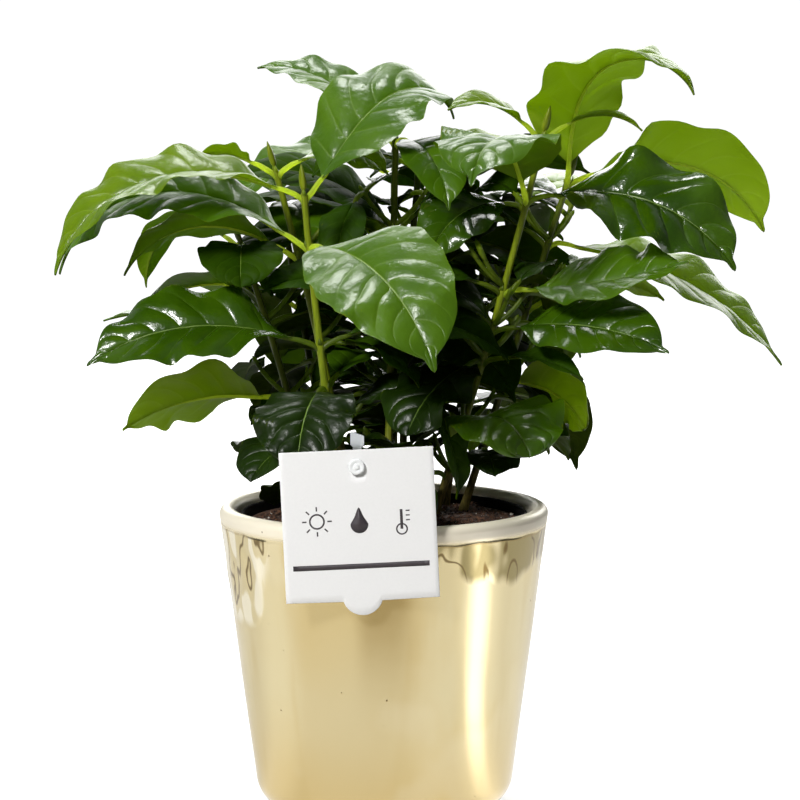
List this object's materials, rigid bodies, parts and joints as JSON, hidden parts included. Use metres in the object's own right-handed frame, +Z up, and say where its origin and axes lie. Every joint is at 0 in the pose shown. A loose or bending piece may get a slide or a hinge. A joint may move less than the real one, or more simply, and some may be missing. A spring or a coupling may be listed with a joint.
{
  "type": "potted coffee plant",
  "caption": "Bushy young coffee plant: upright green stems with paired glossy, wavy-edged leaves, in a nursery pot inside a tapered gold-glazed pot, with a blank square card on a clear stick.",
  "frame": {"origin": "centre of the outer pot's flat underside", "axes": "+Z up along the pot's axis; the view from -Y is the front, with the card on that side; +X to the viewer's right"},
  "size_m": [0.3121, 0.2388, 0.3205],
  "materials": {
    "gold_glaze": "mirror-bright pale gold lustre glaze",
    "black_plastic": "satin moulded",
    "potting_soil": "moist, crumbly",
    "white_card": "matt coated",
    "clear_plastic": "clear, glossy",
    "green_bark": "young green bark, olive-brown at the foot",
    "leaf_green": "waxy gloss above, matt below"
  },
  "bodies": {
    "root": {"leaves_back_right_1": "leaf_green", "leaves_back_right_2": "leaf_green", "leaves_back_right_3": "leaf_green", "leaves_back_right_4": "leaf_green", "leaves_back_right_5": "leaf_green", "leaves_centre_1": "leaf_green", "leaves_centre_2": "leaf_green", "leaves_centre_3": "leaf_green", "leaves_centre_4": "leaf_green", "leaves_centre_5": "leaf_green", "leaves_centre_back_1": "leaf_green", "leaves_centre_back_2": "leaf_green", "leaves_centre_back_3": "leaf_green", "leaves_centre_back_4": "leaf_green", "leaves_front_left_1": "leaf_green", "leaves_front_left_2": "leaf_green", "leaves_front_left_3": "leaf_green", "leaves_front_left_4": "leaf_green", "leaves_front_left_5": "leaf_green", "leaves_front_left_6": "leaf_green", "leaves_left_1": "leaf_green", "leaves_left_2": "leaf_green", "leaves_left_3": "leaf_green", "leaves_left_4": "leaf_green", "leaves_left_middle_1": "leaf_green", "leaves_left_middle_2": "leaf_green", "leaves_left_middle_3": "leaf_green", "leaves_left_middle_4": "leaf_green", "leaves_rear_1": "leaf_green", "leaves_rear_2": "leaf_green", "leaves_rear_3": "leaf_green", "leaves_rear_4": "leaf_green", "leaves_rear_left_1": "leaf_green", "leaves_rear_left_2": "leaf_green", "leaves_rear_left_3": "leaf_green", "leaves_rear_right_1": "leaf_green", "leaves_rear_right_2": "leaf_green", "leaves_rear_right_3": "leaf_green", "leaves_right_1": "leaf_green", "leaves_right_2": "leaf_green", "leaves_right_3": "leaf_green", "leaves_right_4": "leaf_green", "leaves_right_5": "leaf_green", "leaves_right_6": "leaf_green", "leaves_right_7": "leaf_green", "nursery_pot": "black_plastic", "pot": "gold_glaze", "soil": "potting_soil", "stem_back_right": "green_bark", "stem_centre": "green_bark", "stem_centre_back": "green_bark", "stem_front_left": "green_bark", "stem_left": "green_bark", "stem_left_middle": "green_bark", "stem_rear": "green_bark", "stem_rear_left": "green_bark", "stem_rear_right": "green_bark", "stem_right": "green_bark", "tag_card": "white_card", "tag_stick": "clear_plastic"}
  },
  "joints": []
}
